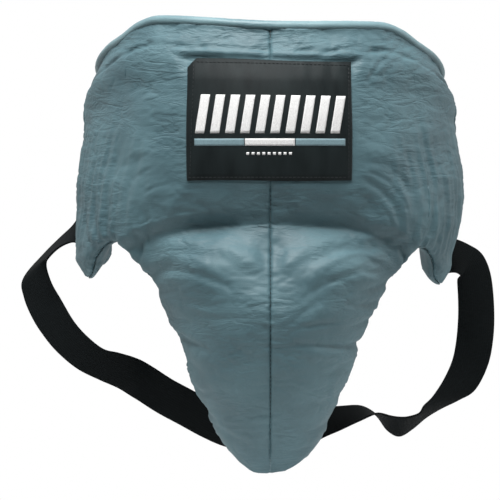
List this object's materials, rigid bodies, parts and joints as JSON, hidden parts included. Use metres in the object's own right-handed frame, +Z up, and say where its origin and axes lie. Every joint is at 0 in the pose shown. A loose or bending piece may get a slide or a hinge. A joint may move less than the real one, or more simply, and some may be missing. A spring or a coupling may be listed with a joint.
{
  "type": "groin protector",
  "caption": "Padded leather boxing groin protector: abdominal pad and hip wings around a rigid cup, elastic leg straps and a waist belt closing behind.",
  "frame": {"origin": "middle of the wearer's waist, inside the belt, level with the middle of the belt", "axes": "+X to the right-hand side seen from the front, +Y to the wearer's back, +Z up"},
  "size_m": [0.3668, 0.2462, 0.3493],
  "materials": {
    "cover_leather": "semi-matte, fine grain",
    "piping_leather": "semi-matte rolled edge",
    "lining_leather": "matte, fine grain",
    "foam": "closed-cell foam, hidden",
    "cup_plastic": "moulded shell, hidden",
    "label_satin": "woven satin",
    "elastic_webbing": "ribbed elastic",
    "loop_tape": "brushed loops",
    "hook_tape": "hook tape"
  },
  "bodies": {
    "root": {"outer_cover_left": "cover_leather", "outer_cover_right": "cover_leather", "lining_left": "lining_leather", "lining_right": "lining_leather", "abdominal_foam": "foam", "hip_foam_left": "foam", "hip_foam_right": "foam", "cup_cover_foam": "foam", "hard_cup": "cup_plastic", "cup_rim_pad_left": "foam", "cup_rim_pad_right": "foam", "top_piping": "piping_leather", "label_patch": "label_satin", "belt_root_patch_left": "cover_leather", "leg_strap_root_patch_left": "cover_leather", "belt_root_patch_right": "cover_leather", "leg_strap_root_patch_right": "cover_leather", "leg_strap_foot_patch": "cover_leather"},
    "belt_right": {"waist_elastic_right": "elastic_webbing"},
    "belt_left": {"waist_elastic_left": "elastic_webbing", "loop_panel": "loop_tape"},
    "belt_tab": {"closure_tab": "cover_leather", "hook_panel": "hook_tape"},
    "leg_loop_left": {"leg_strap_left": "elastic_webbing"},
    "leg_loop_right": {"leg_strap_right": "elastic_webbing"}
  },
  "joints": [
    {"name": "belt_right_swing", "type": "hinge", "parent": "root", "child": "belt_right", "pos_m": [0.1322, 0.0441, 0], "axis": [0, 0, 1], "range_deg": [-110, 0]},
    {"name": "belt_left_swing", "type": "hinge", "parent": "root", "child": "belt_left", "pos_m": [-0.1322, 0.0441, 0], "axis": [0, 0, 1], "range_deg": [0, 55]},
    {"name": "tab_peel", "type": "hinge", "parent": "belt_right", "child": "belt_tab", "pos_m": [0.0801, 0.0978, 0], "axis": [0, 0, 1], "range_deg": [-60, 0]},
    {"name": "leg_loop_left_swing", "type": "hinge", "parent": "root", "child": "leg_loop_left", "pos_m": [-0.144, 0.0455, -0.079], "axis": [0.6073, -0.3394, -0.7183], "range_deg": [-25, 50]},
    {"name": "leg_loop_right_swing", "type": "hinge", "parent": "root", "child": "leg_loop_right", "pos_m": [0.143, 0.0449, -0.099], "axis": [0.6448, 0.3606, 0.674], "range_deg": [-25, 50]}
  ],
  "couplings": [
    {"joint": "belt_left_swing", "follows": "belt_right_swing", "ratio": -0.5}
  ]
}
